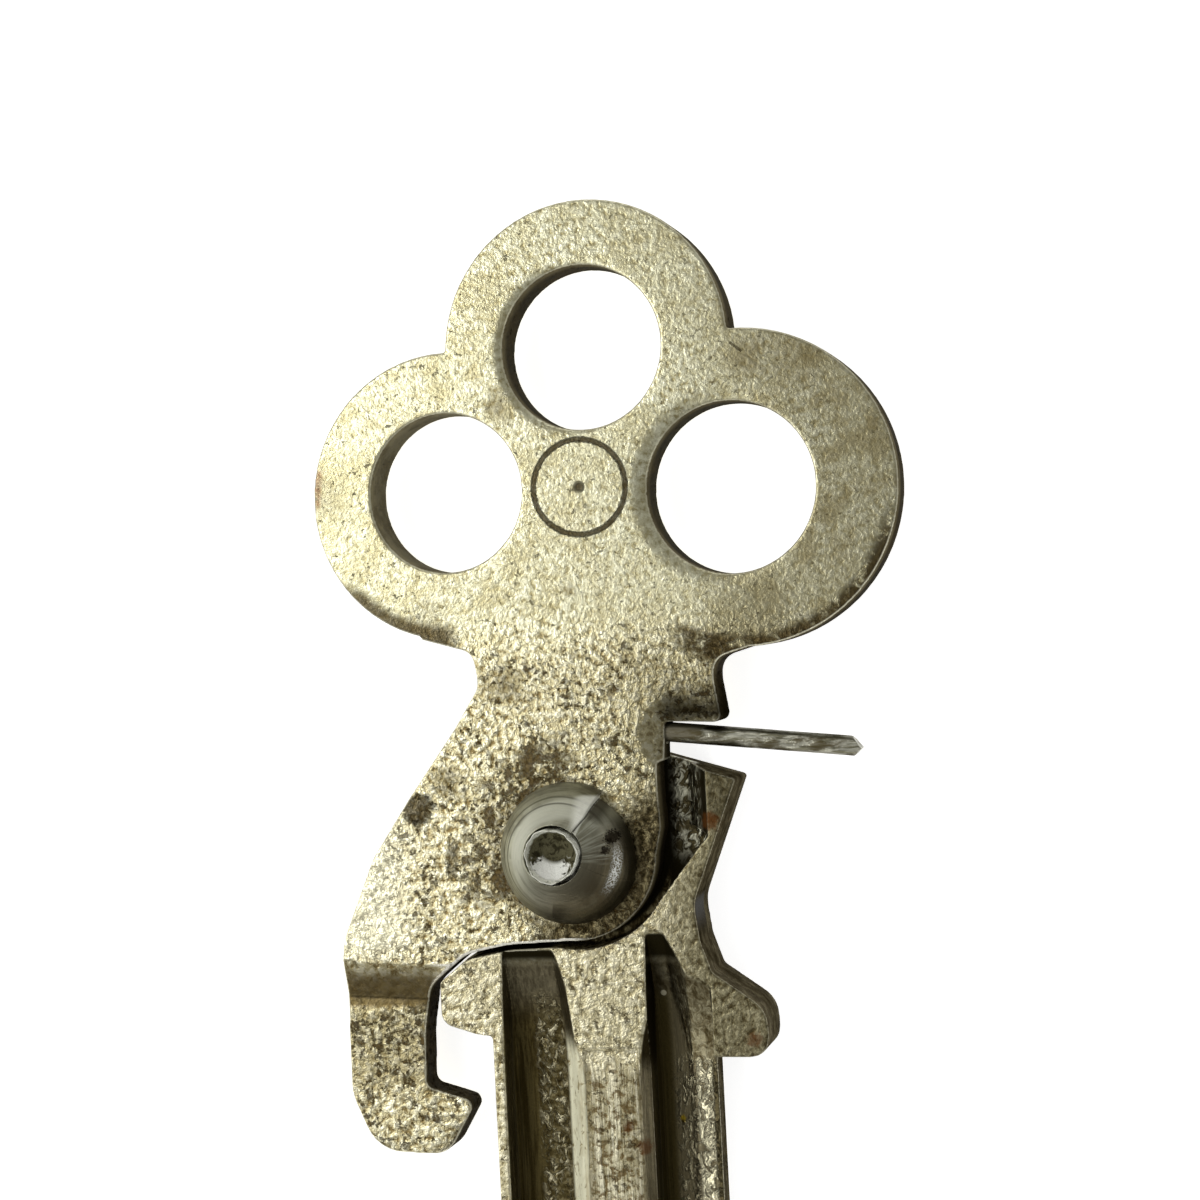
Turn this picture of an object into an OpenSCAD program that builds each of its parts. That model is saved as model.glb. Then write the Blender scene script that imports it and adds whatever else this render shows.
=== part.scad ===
// Folding key blank, modelled in millimetres. The pivot axis is X = Y = 0, the blade's back lies on Z = 0.

/* [Bow plate] */

// Thickness of the head
bow_t = 1.8; // [1.6:0.05:2.1]
// Thickness of the leaf that laps over the blade
leaf_t = 1.35; // [1.1:0.05:1.5]
// Radius of the left hole
hole_left_r = 3.05; // [2.4:0.05:3.4]
// Radius of the top hole
hole_top_r = 3.1; // [2.4:0.05:3.4]
// Radius of the right hole
hole_right_r = 3.2; // [2.4:0.05:3.5]
// Half the distance between the side holes
hole_spread = 5.5; // [5.2:0.05:6]
// Height of the top hole above the side holes
hole_rise = 5.4; // [5:0.05:6]
// Outer radius of the left lobe
lobe_left_r = 5.5; // [5.2:0.05:5.9]
// Outer radius of the top lobe
lobe_top_r = 5.5; // [5.2:0.05:5.9]
// Outer radius of the right lobe
lobe_right_r = 5.9; // [5.5:0.05:6.1]
// Distance from the pivot up to the side holes
head_y = 13.7; // [13:0.1:15]
// Sideways shift of the head from the pivot
head_x = 0.75; // [0.4:0.05:1.1]
// Width of the neck
neck_w = 9.1; // [8.6:0.1:9.6]
// Radius of the leaf's round end about the pivot
leaf_r = 3.35; // [3:0.05:3.45]
// Angle at which the bow rests, turned from the blade's line
bow_rest = -2.1; // [-3:0.1:0]
// Depth of the staking dimple over the spring
dimple_d = 0.4; // [0.2:0.05:0.45]

/* [Hook] */

// Width of the hook arm
arm_w = 3.15; // [2.6:0.05:3.4]
// Distance from the pivot to the arm's outer edge
arm_out = 9.2; // [8.8:0.05:9.6]
// Distance from the pivot down to the hook's gripping edge
grip_y = 9.2; // [8.6:0.1:10.5]
// Depth of the hooked foot
foot_d = 2.6; // [2:0.05:3]
// Reach of the foot past the arm
foot_reach = 2; // [1.4:0.05:2.1]
// Drop of the joggled arm towards the blade's mid plane
joggle = 0.45; // [0.2:0.05:0.6]

/* [Blade] */

// Thickness of the blade
blade_t = 2.4; // [2.3:0.05:2.6]
// Height of the blade's profile
blade_w = 8.4; // [8.2:0.05:8.8]
// Distance from the pivot to the blade's left edge
blade_left = 3.45; // [3.3:0.05:3.6]
// Length from the shoulders to the tip
blade_len = 28.5; // [22:0.5:36]
// Distance from the pivot down to the shoulders
shoulder_y = 7.7; // [7.4:0.05:7.9]
// Reach of the right shoulder past the blade
lug_reach = 2.3; // [1.8:0.05:2.5]
// Radius of the tang about the pivot
tang_r = 4.6; // [4.5:0.05:4.7]
// Radius of the recess in the blade's face
recess_r = 3.8; // [3.7:0.05:4]
// Depth of the left groove
groove_left_d = 1.25; // [0.9:0.05:1.3]
// Depth of the right groove
groove_right_d = 1.4; // [1:0.05:1.45]
// Overhang of the blade's right edge over its back
edge_lip = 0.2; // [0.1:0.05:0.3]
// Height of the step under that overhang
edge_step = 0.9; // [0.5:0.05:1]
// Depth of the groove in the back
groove_back_d = 0.7; // [0.4:0.05:0.8]
// Radius of the milling cutter for the right groove
cutter_right_r = 12; // [10:0.5:14]
// Radius of the milling cutter for the left groove
cutter_left_r = 13; // [10:0.5:14]

/* [Pivot] */

// Radius of the rivet
rivet_r = 1.1; // [0.9:0.05:1.2]
// Radius of the rivet's flat head at the back
rivet_head_r = 1.8; // [1.5:0.05:2]
// Radius of the domed washer
washer_r = 2.7; // [2.5:0.05:3]
// Height of the domed washer
washer_h = 2.3; // [1.9:0.05:2.5]
// Depth of the rivet's cup
cup_d = 0.8; // [0.5:0.05:1.2]
// Sideways shift that lowers the washer's ramp at its split
ramp_shift = 0.3; // [0.1:0.05:0.45]
// Distance of the washer's split from the pivot
split_gap = 0.38; // [0.1:0.02:0.6]
// Radius of the pit in the washer's ramp
pit_r = 0.22; // [0.1:0.02:0.3]

/* [Spring wire] */

// Diameter of the wire
wire_d = 0.75; // [0.6:0.05:0.85]
// Length of wire that stands out of the notch
wire_len = 7.4; // [5:0.1:8]
// Length of wire that is staked in the bow
wire_seat = 1.4; // [1:0.1:1.8]
// Downward slope of the wire in degrees
wire_slope = 4.1; // [2:0.1:4.5]

/* [Fits] */

// Radial running gap of the bow on the rivet
pivot_gap = 0.04; // [0.02:0.01:0.08]
// Running gap between the leaf and its neighbours
face_gap = 0.05; // [0.03:0.01:0.08]
// Gap of seated pieces
seat_gap = 0.01; // [0.005:0.005:0.02]
// Gap between the leaf's lower edge and the left shoulder
stop_gap = 0.2; // [0.18:0.01:0.3]

/* [Hidden] */
$fn = 96;
arc_step = 6;
eps = 0.01;

// centres of the finger holes
hole_left = [head_x - hole_spread, head_y];
hole_right = [head_x + hole_spread + 0.1, head_y - 0.06];
hole_top = [head_x - 0.06, head_y + hole_rise - 0.05];
blade_right = blade_w - blade_left;
tip_y = -shoulder_y - blade_len;
leaf_z = blade_t - leaf_t;
tang_t = leaf_z - face_gap;
head_z = blade_t - bow_t;
lobe_left = hole_left + [0.1, -0.12];
lobe_right = hole_right + [0.34, -0.02];
lobe_top = hole_top + [0.13, 0.06];
neck_left = head_x - neck_w / 2 + 0.25;
neck_right = neck_left + neck_w;
arm_in = arm_out - arm_w;
notch_x = leaf_r + 0.3;
notch_y = tang_r + 0.33;
// the tail's upper edge leans by this angle at this distance from the pivot
tail_a = 73;
tail_d = tang_r - 0.2;
tail_x = blade_right + 1.55;
tail = [tail_x, (tail_d - tail_x * cos(tail_a)) / sin(tail_a)];
lap_r = norm([notch_x, notch_y]) - 0.2;
wire_root = [notch_x, notch_y - 0.03 - wire_d / 2];
wire_z = blade_t - dimple_d - wire_d / 2 - 0.05;
washer_z = blade_t + face_gap;
dome_r = (washer_r * washer_r + washer_h * washer_h) / (2 * washer_h);
dome_top = washer_z + washer_h;
rivet_top = dome_top + 0.1;
// sphere that cups the rivet's end almost to its rim
rim_r = rivet_r - 0.1;
cup_r = (rim_r * rim_r + cup_d * cup_d) / (2 * cup_d);
// direction of the washer's split, and the pit beside it
split_a = 67;
pit = [0.75, 0.23] * washer_r;

function unit(v) = v / norm(v);
// Points of the arc that rounds corner b between its neighbours a and c
function corner(a, b, c, r) =
    let (u = unit(a - b), w = unit(c - b), half = acos(u * w) / 2)
    let (p = b + u * r / tan(half), q = b + w * r / tan(half))
    let (o = b + unit(u + w) * r / sin(half))
    let (a0 = atan2(p.y - o.y, p.x - o.x), a1 = atan2(q.y - o.y, q.x - o.x))
    let (d = (a1 - a0 + 540) % 360 - 180, n = max(2, ceil(abs(d) / arc_step)))
    [for (i = [0 : n]) o + r * [cos(a0 + d * i / n), sin(a0 + d * i / n)]];
function flat(v) = [v[0], v[1]];
// Closed outline whose corners [x, y, r] are rounded by their own radius
function rounded(v) = [
    for (i = [0 : len(v) - 1])
        let (a = v[(i + len(v) - 1) % len(v)], b = v[i], c = v[(i + 1) % len(v)])
        each (b[2] > 0 ? corner(flat(a), flat(b), flat(c), b[2]) : [flat(b)])
];

// Lower edge of the leaf from the hook arm to its round end, lowered by g
function leaf_edge(g) = [
    [-arm_in + 0.25, -5.3 - g, 1.2],
    [-4.2, -leaf_r - 0.6 - g, 1.5],
    [-2.5, -leaf_r - 0.2 - g, 3],
    [-0.2, -leaf_r - g, 0]
];

// Outline of the neck, the leaf and the hook, without the lobes
function shank_path() = concat(
    [
        [head_x + 3, head_y - 1, 0],
        [head_x - 3, head_y - 1, 0],
        [neck_left - 2.3, head_y - 5.6, 0],
        [neck_left - 0.25, head_y - 6.12, 0.6],
        [neck_left, head_y - 7.4, 0.8],
        [neck_left - 0.97, head_y - 9, 0.8],
        [-6.42, 2, 1],
        [-7.95, -0.35, 2],
        [-arm_out - 0.07, -3.7, 3],
        [0.05 - arm_out, -grip_y - 0.4, 2],
        [1.1 - arm_out, -grip_y - foot_d, 1.6],
        [-arm_in + 0.85, -grip_y - foot_d, 1.1],
        [-arm_in + foot_reach, -grip_y - 0.5, 0.35],
        [-arm_in, -grip_y, 0.35],
        [-arm_in, -7, 3]
    ],
    leaf_edge(0),
    [
        [leaf_r, 0, 0],
        [leaf_r + 0.2, 1, 1],
        [leaf_r + 0.08, 2.4, 1],
        [leaf_r + 0.05, 3.4, 0],
        [notch_x, 3.5, 0],
        [notch_x, notch_y, 0.15],
        [neck_right + 0.38, notch_y, 0.3],
        [neck_right + 0.08, notch_y + 1.6, 1],
        [neck_right + 0.08, head_y - 6.4, 0.7],
        [neck_right + 1.95, head_y - 5.8, 0]
    ]
);

module bow_outline() {
    translate(lobe_left) circle(r = lobe_left_r);
    translate(lobe_right) circle(r = lobe_right_r);
    translate(lobe_top) circle(r = lobe_top_r);
    circle(r = leaf_r);
    polygon(rounded(shank_path()));
}

// Side profile of the plate: lapped leaf, then the joggle, then the arm
module bow_side() {
    rotate([90, 0, 90])
        linear_extrude(height = 40, center = true)
            polygon([
                [-4.4, leaf_z], [-5.8, leaf_z - joggle], [-20, leaf_z - joggle],
                [-20, blade_t - joggle], [-5.8, blade_t - joggle], [-4.4, blade_t],
                [40, blade_t], [40, head_z], [-1, head_z], [-1, leaf_z]
            ]);
}

module spring_axis() {
    translate([wire_root.x, wire_root.y, wire_z])
        rotate([0, 0, -wire_slope])
            rotate([0, 90, 0])
                children();
}

module bow() {
    color("darkkhaki")
    rotate([0, 0, bow_rest])
    difference() {
        intersection() {
            linear_extrude(height = blade_t + 1) bow_outline();
            bow_side();
        }
        // finger holes
        translate([hole_left.x, hole_left.y, -1]) cylinder(r = hole_left_r, h = blade_t + 3);
        translate([hole_right.x, hole_right.y, -1]) cylinder(r = hole_right_r, h = blade_t + 3);
        translate([hole_top.x, hole_top.y, -1]) cylinder(r = hole_top_r, h = blade_t + 3);
        // bore on the rivet
        translate([0, 0, -1]) cylinder(r = rivet_r + pivot_gap, h = blade_t + 3);
        // lap that passes over the tang
        translate([0, 0, head_z - 1]) cylinder(r = lap_r, h = leaf_z - head_z + 1);
        // seat of the spring wire
        spring_axis() translate([0, 0, -wire_seat - seat_gap])
            cylinder(r = wire_d / 2 + seat_gap, h = wire_seat + 2);
        // dimple struck over the seat
        translate([notch_x + 0.6, notch_y - 0.5, blade_t - dimple_d + 3]) sphere(r = 3);
    }
}

// Outline of the whole blade with its tang, tail and shoulders
function blade_path() = [
    [tail.x, tail.y, 0.12],
    [blade_right - 0.28, -2, 1.5],
    [blade_right - 0.1, -3.4, 1.2],
    [blade_right + 0.3, -4.55, 0.3],
    [blade_right + lug_reach, -shoulder_y + 1.75, 1.2],
    [blade_right + lug_reach, -shoulder_y, 0.7],
    [blade_right + edge_lip, -shoulder_y, 0],
    [blade_right + edge_lip, tip_y + 4.2, 0.6],
    [blade_right - 3.4, tip_y, 0.5],
    [2.2 - blade_left, tip_y, 0.5],
    [-blade_left, tip_y + 3, 0.6],
    [-blade_left, 0.75 - shoulder_y, 0.15],
    [-blade_left - 0.6, 0.82 - shoulder_y, 1],
    [-blade_left - 2.03, 1.25 - shoulder_y, 0.6],
    [-blade_left - 2.03, 3.1 - shoulder_y, 0.9],
    [-blade_left - 0.8, 3.85 - shoulder_y, 0.3],
    [0.2 - tang_r, -1.2, 0],
    [0, 0, 0],
    [tail_d * cos(tail_a), tail_d * sin(tail_a), 0]
];

// Ground that the leaf sweeps, down to its lower edge
module leaf_travel() {
    polygon(concat(
        [[0, 8], [-9, 8], [-9, -5.5 - stop_gap]],
        rounded(concat([[-7, -7, 0]], leaf_edge(stop_gap), [[0, 0, 0]]))
    ));
}

// Everything of the blade's face that the leaf and its travel need
module recess() {
    translate([0, 0, tang_t]) {
        translate([0.15, 0.15]) cylinder(r = recess_r, h = blade_t);
        linear_extrude(height = blade_t)
            polygon([
                [0, 8], [0, 0], [recess_r * cos(34), -recess_r * sin(34)],
                [blade_right + 0.05, 0.15], [blade_right + 0.4, 0.5],
                [blade_right - 0.5, 0.9], [blade_right - 0.5, 8]
            ]);
        rotate([0, 0, bow_rest]) linear_extrude(height = blade_t) leaf_travel();
    }
    // the joggled arm lies deeper, so the left shoulder's corner is relieved under it
    rotate([0, 0, bow_rest])
        translate([0, 0, head_z - face_gap])
            linear_extrude(height = blade_t)
                intersection() {
                    leaf_travel();
                    translate([-9, -9]) square([9 - tang_r - 0.1, 9]);
                }
    // slanted wall under the tail's right edge
    translate([blade_right, 8, 0])
        rotate([90, 0, 0])
            linear_extrude(height = 7.5)
                polygon([
                    [-1, tang_t], [-0.5, tang_t], [0.4, blade_t],
                    [0.4, blade_t + 1], [-1, blade_t + 1]
                ]);
}

// Profiles of the milling cutters, drawn as [across, height]
module groove_left() {
    polygon([
        [0.42 - blade_left, blade_t + 1], [0.42 - blade_left, blade_t],
        [0.55 - blade_left, blade_t - groove_left_d],
        [2.5 - blade_left, blade_t - groove_left_d],
        [2.9 - blade_left, blade_t - 0.8],
        [3.2 - blade_left, blade_t - 0.22],
        [3.72 - blade_left, blade_t], [3.72 - blade_left, blade_t + 1]
    ]);
}

module groove_right() {
    polygon([
        [blade_right - 2.75, blade_t + 1], [blade_right - 2.75, blade_t],
        [blade_right - 2.3, blade_t - 0.3],
        [blade_right - 2.2, blade_t - groove_right_d],
        [blade_right - 1.55, blade_t - groove_right_d],
        [blade_right - 0.75, blade_t - groove_right_d + 0.65],
        [blade_right + 1, blade_t - groove_right_d + 0.95],
        [blade_right + 1, blade_t + 1]
    ]);
}

// Groove that runs from y0 to past the tip and lifts out above y0 with the cutter's radius
module groove(r, d, y0) {
    translate([0, y0 + eps, 0])
        rotate([90, 0, 0]) linear_extrude(height = y0 - tip_y + 1) children();
    translate([0, y0, blade_t - d + r])
        intersection() {
            rotate([0, 90, 0])
                rotate_extrude($fn = 180)
                    rotate(90)
                        mirror([0, 1])
                            translate([0, d - blade_t - r])
                                intersection() {
                                    children();
                                    translate([-20, blade_t - d]) square([40, r - 1]);
                                }
            translate([-20, 0, -r - 1]) cube([40, r + 1, r]);
        }
}

module blade() {
    color("tan")
    difference() {
        union() {
            linear_extrude(height = blade_t) polygon(rounded(blade_path()));
            cylinder(r = tang_r, h = blade_t);
        }
        recess();
        groove(cutter_left_r, groove_left_d, -shoulder_y - 1.4) groove_left();
        // right groove, kept off the right shoulder
        difference() {
            groove(cutter_right_r, groove_right_d, -shoulder_y - 0.9) groove_right();
            translate([blade_right + edge_lip, -shoulder_y, -1]) cube([9, 30, 9]);
        }
        // rib between the grooves is milled a little lower than the face
        translate([3.55 - blade_left, tip_y - 1, blade_t - 0.08])
            cube([blade_w - 6.25, blade_len + 1.3, 1]);
        // step under the right edge
        translate([blade_right, tip_y - 1, -1])
            cube([1, blade_len + 1, edge_step + 1]);
        // groove in the back
        translate([blade_right - 3.9, tip_y - 1, -1])
            cube([1.5, blade_len - 1, groove_back_d + 1]);
        // rivet hole with its countersink
        translate([0, 0, -1]) cylinder(r = rivet_r + seat_gap, h = blade_t + 2);
        translate([0, 0, -eps])
            cylinder(
                r1 = rivet_head_r + seat_gap + eps, r2 = rivet_r + seat_gap,
                h = rivet_head_r - rivet_r + eps
            );
    }
}

module dome() {
    rotate_extrude()
        intersection() {
            translate([0, washer_h - dome_r]) circle(r = dome_r);
            square([washer_r, washer_h]);
        }
}

// What is cut away over the ramp, which falls towards the split as a shifted copy of the dome
module over_ramp() {
    rotate([0, 0, split_a - 90])
        difference() {
            translate([split_gap, 0, -washer_r]) cube(3 * washer_r);
            translate([0, -ramp_shift, washer_h - dome_r]) sphere(r = dome_r);
        }
}

module washer() {
    color("dimgray")
    translate([0, 0, washer_z])
    difference() {
        dome();
        over_ramp();
        translate([0, 0, -1]) cylinder(r = rivet_r + seat_gap, h = washer_h + 3);
        translate([pit.x, pit.y, washer_h - dome_r + sqrt(dome_r * dome_r - pit * pit)])
            sphere(r = pit_r);
    }
}

module rivet() {
    color("silver")
    difference() {
        rotate_extrude()
            polygon([
                [0, 0], [rivet_head_r, 0], [rivet_r, rivet_head_r - rivet_r],
                [rivet_r, rivet_top - 0.06], [rivet_r - 0.06, rivet_top], [0, rivet_top]
            ]);
        translate([0, 0, rivet_top - cup_d + cup_r]) sphere(r = cup_r);
    }
}

module spring() {
    color("slategray")
    rotate([0, 0, bow_rest])
    spring_axis() intersection() {
        translate([0, 0, -wire_seat]) cylinder(r = wire_d / 2, h = wire_seat + wire_len);
        // side profile with the wedge-cut tip
        rotate([90, 0, 90])
            linear_extrude(height = 2, center = true)
                polygon([
                    [-wire_d, -wire_seat], [wire_d, -wire_seat],
                    [wire_d, wire_len - wire_d], [-0.05, wire_len], [-wire_d, wire_len - wire_d * 0.8]
                ]);
    }
}

blade();
bow();
washer();
rivet();
spring();
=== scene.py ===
# %% [markdown]
# A key blank seen close up
#
# The object is an old folding key blank: a stamped trefoil bow, riveted to a
# grooved blade, with a domed steel washer over the rivet and a straight spring
# wire in the edge of the bow. It is about 60 mm long, so every scratch and pit
# that the eye sees is a fraction of a millimetre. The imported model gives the
# sizes, and this lesson dresses it: softened edges first, then the metals.

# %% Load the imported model
import math

import bmesh
import bpy
import numpy as np
from mathutils import Matrix, Vector


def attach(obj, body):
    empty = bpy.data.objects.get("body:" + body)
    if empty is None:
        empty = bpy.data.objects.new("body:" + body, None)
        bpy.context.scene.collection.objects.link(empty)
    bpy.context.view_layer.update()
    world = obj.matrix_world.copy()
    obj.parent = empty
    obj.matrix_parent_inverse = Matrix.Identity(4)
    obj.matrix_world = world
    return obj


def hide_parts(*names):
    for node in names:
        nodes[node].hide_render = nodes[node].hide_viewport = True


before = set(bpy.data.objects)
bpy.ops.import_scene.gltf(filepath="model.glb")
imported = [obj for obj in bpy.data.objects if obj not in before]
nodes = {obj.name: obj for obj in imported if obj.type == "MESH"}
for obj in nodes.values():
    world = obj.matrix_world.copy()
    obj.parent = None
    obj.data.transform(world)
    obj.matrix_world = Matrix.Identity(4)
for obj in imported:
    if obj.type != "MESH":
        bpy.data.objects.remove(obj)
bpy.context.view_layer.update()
MM = 0.001
print("nodes:", sorted(nodes))

# %% [markdown]
# The camera
#
# The photograph looks almost straight down on the key, a little from the
# right, so the right-hand walls show and the left-hand ones hide. The camera
# is placed where the outline of the model falls on the outline of the
# photograph. A long lens keeps the key's sides nearly parallel.

# %% Camera
# Millimetres from the pivot, and degrees.
CAMERA_AT = Vector((23.07, 9.07, 82.22)) * MM
LOOKS_AT = Vector((1.67, 9.47, 2.4)) * MM
ROLL = -2.93

camera_data = bpy.data.cameras.new("camera")
camera_data.sensor_width = 36
camera_data.lens = 66
camera_data.clip_start = 0.002
camera = bpy.data.objects.new("camera", camera_data)
bpy.context.scene.collection.objects.link(camera)
backward = (CAMERA_AT - LOOKS_AT).normalized()
right = Vector((0, 1, 0)).cross(backward).normalized()
aim = Matrix((right, backward.cross(right), backward)).transposed().to_4x4()
roll = Matrix.Rotation(math.radians(ROLL), 4, "Z")
camera.matrix_world = Matrix.Translation(CAMERA_AT) @ aim @ roll
bpy.context.scene.camera = camera
bpy.context.scene.view_settings.view_transform = "Standard"
print("camera", round((LOOKS_AT - CAMERA_AT).length * 1000, 1), "mm from the key")

# %% [markdown]
# Shader maths
#
# A worn metal is many small masks added and multiplied together. Wiring each
# Math node by hand hides the idea, so one small class wraps a socket and lets
# plain Python arithmetic add the nodes. A second helper adds any other node.

# %% Sockets that can be added and multiplied
class Field:
    """One output socket of a node tree, with arithmetic."""

    def __init__(self, tree, socket):
        self.tree = tree
        self.socket = socket

    def maths(self, operation, a, b, clamp=False):
        settings = {"operation": operation, "use_clamp": clamp}
        return add_node(self.tree, "ShaderNodeMath", settings, {0: a, 1: b})

    def __add__(self, other):
        return self.maths("ADD", self, other)

    def __radd__(self, other):
        return self.maths("ADD", other, self)

    def __sub__(self, other):
        return self.maths("SUBTRACT", self, other)

    def __rsub__(self, other):
        return self.maths("SUBTRACT", other, self)

    def __mul__(self, other):
        return self.maths("MULTIPLY", self, other)

    def __rmul__(self, other):
        return self.maths("MULTIPLY", other, self)

    def clamp(self):
        return self.maths("ADD", self, 0.0, clamp=True)

    def absolute(self):
        return self.maths("ABSOLUTE", self, 0.0)

    def highest(self, other):
        return self.maths("MAXIMUM", self, other)

    def step(self, low, high):
        """0 below low, 1 above high, smooth between them."""
        settings = {"interpolation_type": "SMOOTHSTEP"}
        values = {0: self, 1: low, 2: high, 3: 0.0, 4: 1.0}
        return add_node(self.tree, "ShaderNodeMapRange", settings, values)

    def between(self, low, high, soft=0.1):
        """1 from low to high, 0 outside, with soft borders."""
        return self.step(low - soft, low + soft) * (1 - self.step(high - soft, high + soft))


def add_node(tree, kind, settings=None, values=None, out=0):
    """Adds a node, sets its settings, then the values or links of its sockets."""
    node = tree.nodes.new(kind)
    for name, value in (settings or {}).items():
        setattr(node, name, value)
    for key, value in (values or {}).items():
        if isinstance(value, Field):
            tree.links.new(value.socket, node.inputs[key])
        else:
            node.inputs[key].default_value = value
    return Field(tree, node.outputs[out])


print("shader helper ready")

# %% [markdown]
# One metal to start from
#
# Every finish here reads the object's own coordinates, scaled to millimetres,
# so a pattern keeps its real size and stays on its piece when the bow turns.
# The helpers below give a noise of a known grain size, a soft round spot, a
# straight scratch, and a coat of colour that is painted where a mask is 1.

# %% Pattern helpers
def tone(red, green, blue):
    """Red, green and blue from 0 to 255, made linear for a shader."""
    linear = [(c / 255) ** 2.2 for c in (red, green, blue)]
    return (*linear, 1.0)


class Metal:
    """A metal finish under construction: its tree, its millimetres and its shader."""

    def __init__(self, name):
        self.material = bpy.data.materials.new(name)
        self.material.use_nodes = True
        self.tree = self.material.node_tree
        self.shader = self.tree.nodes["Principled BSDF"]
        place = add_node(self.tree, "ShaderNodeTexCoord", out=3)
        self.place = add_node(
            self.tree, "ShaderNodeVectorMath", {"operation": "SCALE"}, {0: place, 3: 1 / MM}
        )
        self.x = add_node(self.tree, "ShaderNodeSeparateXYZ", values={0: self.place}, out=0)
        self.y = add_node(self.tree, "ShaderNodeSeparateXYZ", values={0: self.place}, out=1)
        self.z = add_node(self.tree, "ShaderNodeSeparateXYZ", values={0: self.place}, out=2)
        facing = add_node(self.tree, "ShaderNodeNewGeometry", out=1)
        self.side = add_node(self.tree, "ShaderNodeSeparateXYZ", values={0: facing}, out=1)
        self.up = add_node(self.tree, "ShaderNodeSeparateXYZ", values={0: facing}, out=2)
        self.level = self.up.absolute()

    def stretched(self, x, y, z):
        values = {0: self.place, 1: (x, y, z)}
        return add_node(self.tree, "ShaderNodeVectorMath", {"operation": "MULTIPLY"}, values)

    def noise(self, grain, detail=3.0, rough=0.5, place=None, warp=0.0):
        """Noise whose lumps are about grain millimetres across."""
        values = {
            "Vector": place or self.place, "Scale": 1 / grain, "Detail": detail,
            "Roughness": rough, "Distortion": warp,
        }
        return add_node(self.tree, "ShaderNodeTexNoise", values=values)

    def away(self, x, y):
        """Distance in millimetres from the upright line through x, y."""
        flat = self.stretched(1, 1, 0)
        values = {0: flat, 1: (x, y, 0)}
        return add_node(
            self.tree, "ShaderNodeVectorMath", {"operation": "DISTANCE"}, values, out=1
        )

    def spot(self, x, y, size, soft=0.6, ragged=None):
        """1 inside a round spot, falling to 0 at its rim, which a noise may tear."""
        distance = self.away(x, y)
        if ragged:
            distance = distance + (ragged - 0.5) * size * 2
        return 1 - distance.step(size * (1 - soft), size)

    def scratch(self, x, y, length, degrees, width):
        """1 along a straight mark that starts at x, y."""
        turn = math.radians(degrees)
        along = self.x * math.cos(turn) + self.y * math.sin(turn)
        across = self.y * math.cos(turn) - self.x * math.sin(turn)
        along = along - (x * math.cos(turn) + y * math.sin(turn))
        across = across - (y * math.cos(turn) - x * math.sin(turn))
        beside = 1 - across.absolute().step(width * 0.4, width)
        return beside * along.step(0, width) * (1 - along.step(length - width, length))

    def attribute(self, name):
        return add_node(self.tree, "ShaderNodeAttribute", {"attribute_name": name}, out=2)

    def mix(self, mask, a, b):
        settings = {"data_type": "RGBA", "clamp_factor": True}
        return add_node(self.tree, "ShaderNodeMix", settings, {0: mask, 6: a, 7: b}, out=2)

    def paint(self, mask, coat):
        """Lays a colour over the coats below it, where the mask is 1."""
        self.colour = self.mix(mask, self.colour, coat)

    def mottle(self, noise, dark, middle, light):
        """Three colours along one noise: dark in its pits, light on its crests."""
        low = self.mix(noise.step(0.34, 0.47), dark, middle)
        return self.mix(noise.step(0.48, 0.6), low, light)

    def bump(self, height, depth):
        """Height 0 to 1 becomes relief of depth millimetres."""
        values = {"Height": height, "Distance": depth * MM, "Strength": 1.0}
        return add_node(self.tree, "ShaderNodeBump", values=values)

    def count(self, cell):
        print(cell, "ready,", len(self.tree.nodes), "nodes so far")

    def finish(self, roughness, metallic, normal):
        """Links the finish to the shader. What isn't metallic, such as dirt, gets no gloss."""
        self.shader.inputs["Specular IOR Level"].default_value = 0.0
        for name, value in (
            ("Base Color", self.colour), ("Roughness", roughness),
            ("Metallic", metallic), ("Normal", normal),
        ):
            self.tree.links.new(value.socket, self.shader.inputs[name])
        print("finish", self.material.name, "has", len(self.tree.nodes), "nodes")
        return self.material


print("middle grey is", round(tone(128, 128, 128)[0], 3), "in linear colour")

# %% [markdown]
# Worn edges
#
# The stamped plate and the milled blade have no sharp edges left: a century of
# handling has rounded them. The imported solids are exact and sharp. A bevel
# would need clean edges to follow, and here walls, dimple and joggle meet in
# short slivers. A fine voxel remesh followed by smoothing wears every edge in
# the same way, as handling does. How far the smoothing moved a point also
# tells how exposed it was: outer edges sink, inner corners fill. That number
# is kept on the mesh as the attribute "wear", above 0 on rubbed edges and
# below 0 in inner corners, which the finishes paint darker. A last pass thins
# the flat areas.

# %% Copy a solid and wear its edges
# Corners of the imported triangles that are nearer than this many millimetres are one.
MERGE = 0.0002


def applied(piece):
    """The mesh of a piece with its modifiers applied."""
    graph = bpy.context.evaluated_depsgraph_get()
    mesh = bpy.data.meshes.new_from_object(piece.evaluated_get(graph))
    piece.modifiers.clear()
    return mesh


def points(mesh):
    """The places of a mesh's vertices, one row each."""
    flat = np.zeros(len(mesh.vertices) * 3, np.float32)
    mesh.vertices.foreach_get("co", flat)
    return flat.reshape(-1, 3)


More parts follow.
